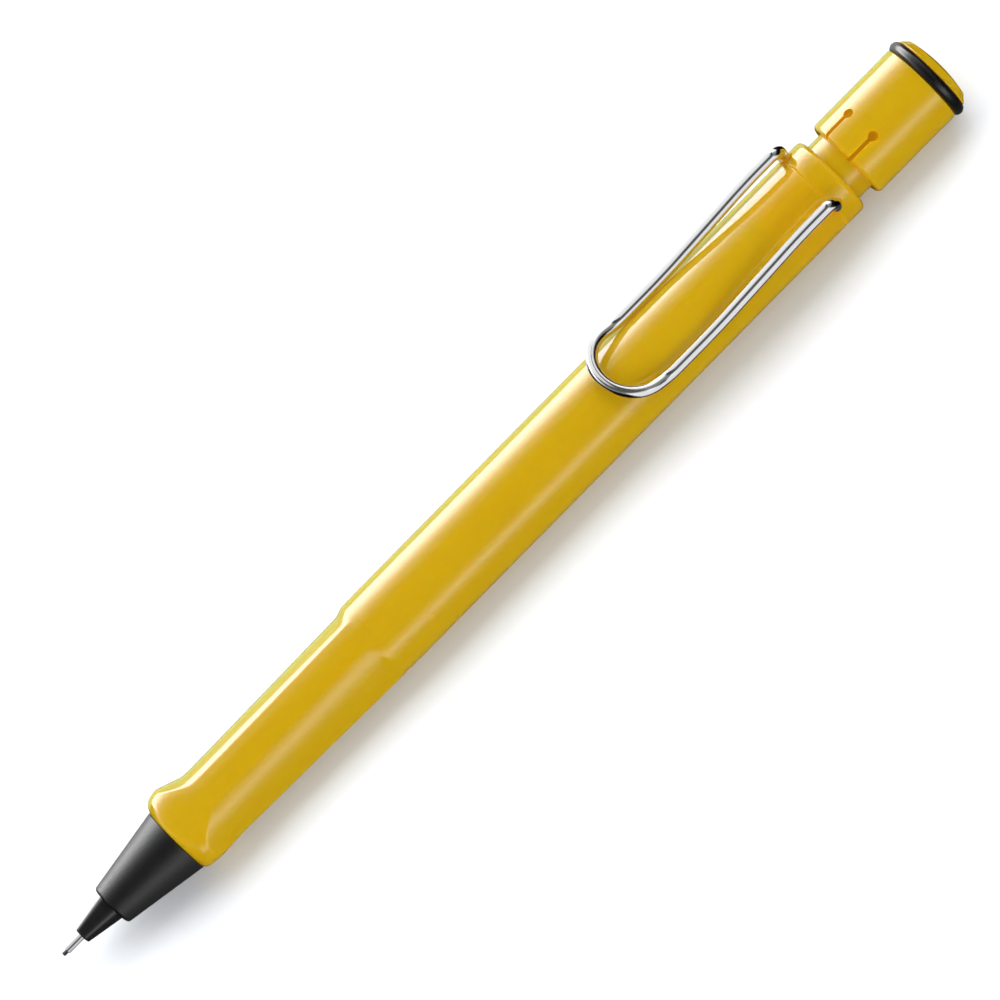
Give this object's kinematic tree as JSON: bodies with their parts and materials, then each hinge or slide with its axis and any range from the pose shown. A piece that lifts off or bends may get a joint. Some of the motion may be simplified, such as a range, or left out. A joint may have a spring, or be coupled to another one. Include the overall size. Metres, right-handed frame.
{
  "type": "mechanical pencil",
  "caption": "Cap-actuated clutch pencil with a triangular moulded grip, black screw-in cone, bent wire clip and a pull-off push cap over an eraser.",
  "frame": {"origin": "below the pencil's axis at the middle of its length, on the plane that touches its lowest finger lip", "axes": "+X along the pencil from the lead toward the push cap, +Z toward the clip, +Y completes a right-handed frame"},
  "size_m": [0.1396, 0.011, 0.0129],
  "materials": {
    "yellow_abs": "glossy through-coloured ABS",
    "chrome_wire": "polished chrome plating",
    "nickel_steel": "nickel-plated steel",
    "black_textured_plastic": "finely textured black plastic",
    "black_metal": "gloss black metal",
    "steel": "drawn stainless steel",
    "spring_steel": "drawn spring wire",
    "black_rubber": "semi-gloss black rubber",
    "brass": "turned brass",
    "white_acetal": "white acetal",
    "milky_polypropylene": "milky translucent polypropylene",
    "graphite": "dark grey graphite",
    "eraser_rubber": "white vinyl eraser"
  },
  "bodies": {
    "barrel_body": {"barrel": "yellow_abs", "barrel_collar": "yellow_abs", "clutch_sleeve": "nickel_steel", "return_spring": "spring_steel"},
    "tip_unit": {"front_cone": "black_textured_plastic", "tip_cone": "black_metal", "lead_sleeve": "steel", "lead_retainer": "black_rubber"},
    "feed_unit": {"button_neck": "yellow_abs", "lead_tube": "milky_polypropylene", "tube_coupler": "white_acetal", "chuck_stem": "brass"},
    "ring_unit": {"clutch_ring": "brass"},
    "lead_unit": {"writing_lead": "graphite"},
    "clip_unit": {"clip": "chrome_wire"},
    "cap_unit": {"push_cap": "yellow_abs", "o_ring": "black_rubber"},
    "eraser_unit": {"eraser": "eraser_rubber", "eraser_ferrule": "white_acetal"},
    "spare_leads_unit": {"spare_leads": "graphite"},
    "chuck_jaw_1_unit": {"chuck_jaw_1": "brass"},
    "chuck_jaw_2_unit": {"chuck_jaw_2": "brass"},
    "chuck_jaw_3_unit": {"chuck_jaw_3": "brass"}
  },
  "joints": [
    {"name": "button_press", "type": "slide", "parent": "barrel_body", "child": "feed_unit", "axis": [-1, 0, 0], "range_m": [0, 0.0019], "stiffness_N_per_m": 1500, "springref_m": -0.002, "deforming": ["return_spring"]},
    {"name": "ring_slide", "type": "slide", "parent": "barrel_body", "child": "ring_unit", "axis": [-1, 0, 0], "range_m": [0, 0.00067]},
    {"name": "lead_feed", "type": "slide", "parent": "barrel_body", "child": "lead_unit", "axis": [-1, 0, 0], "range_m": [0, 0.00067]},
    {"name": "tip_unscrew", "type": "slide", "parent": "barrel_body", "child": "tip_unit", "axis": [-1, 0, 0], "range_m": [0, 0.014]},
    {"name": "clip_lift", "type": "hinge", "parent": "barrel_body", "child": "clip_unit", "pos_m": [0.05013, 0, 0.00864], "axis": [0, 1, 0], "range_deg": [0, 5], "stiffness_Nm_per_rad": 1.5},
    {"name": "cap_pull", "type": "slide", "parent": "feed_unit", "child": "cap_unit", "axis": [1, 0, 0], "range_m": [0, 0.02]},
    {"name": "eraser_pull", "type": "slide", "parent": "feed_unit", "child": "eraser_unit", "axis": [1, 0, 0], "range_m": [0, 0.0111]},
    {"name": "spare_leads_slide", "type": "slide", "parent": "feed_unit", "child": "spare_leads_unit", "axis": [1, 0, 0], "range_m": [0, 0.018]},
    {"name": "jaw_1_open", "type": "hinge", "parent": "feed_unit", "child": "chuck_jaw_1_unit", "pos_m": [-0.04718, 0, 0.00664], "axis": [0, 1, 0], "range_deg": [0, 1.5]},
    {"name": "jaw_2_open", "type": "hinge", "parent": "feed_unit", "child": "chuck_jaw_2_unit", "pos_m": [-0.04718, -0.00087, 0.00514], "axis": [0, -0.5, 0.866], "range_deg": [0, 1.5]},
    {"name": "jaw_3_open", "type": "hinge", "parent": "feed_unit", "child": "chuck_jaw_3_unit", "pos_m": [-0.04718, 0.00087, 0.00514], "axis": [0, -0.5, -0.866], "range_deg": [0, 1.5]}
  ],
  "couplings": [
    {"joint": "ring_slide", "follows": "button_press", "ratio": 0.35},
    {"joint": "lead_feed", "follows": "button_press", "ratio": 0.35},
    {"joint": "eraser_pull", "follows": "cap_pull", "ratio": 0.55},
    {"joint": "jaw_1_open", "follows": "button_press", "rad_per_m": 13.75},
    {"joint": "jaw_2_open", "follows": "button_press", "rad_per_m": 13.75},
    {"joint": "jaw_3_open", "follows": "button_press", "rad_per_m": 13.75}
  ]
}
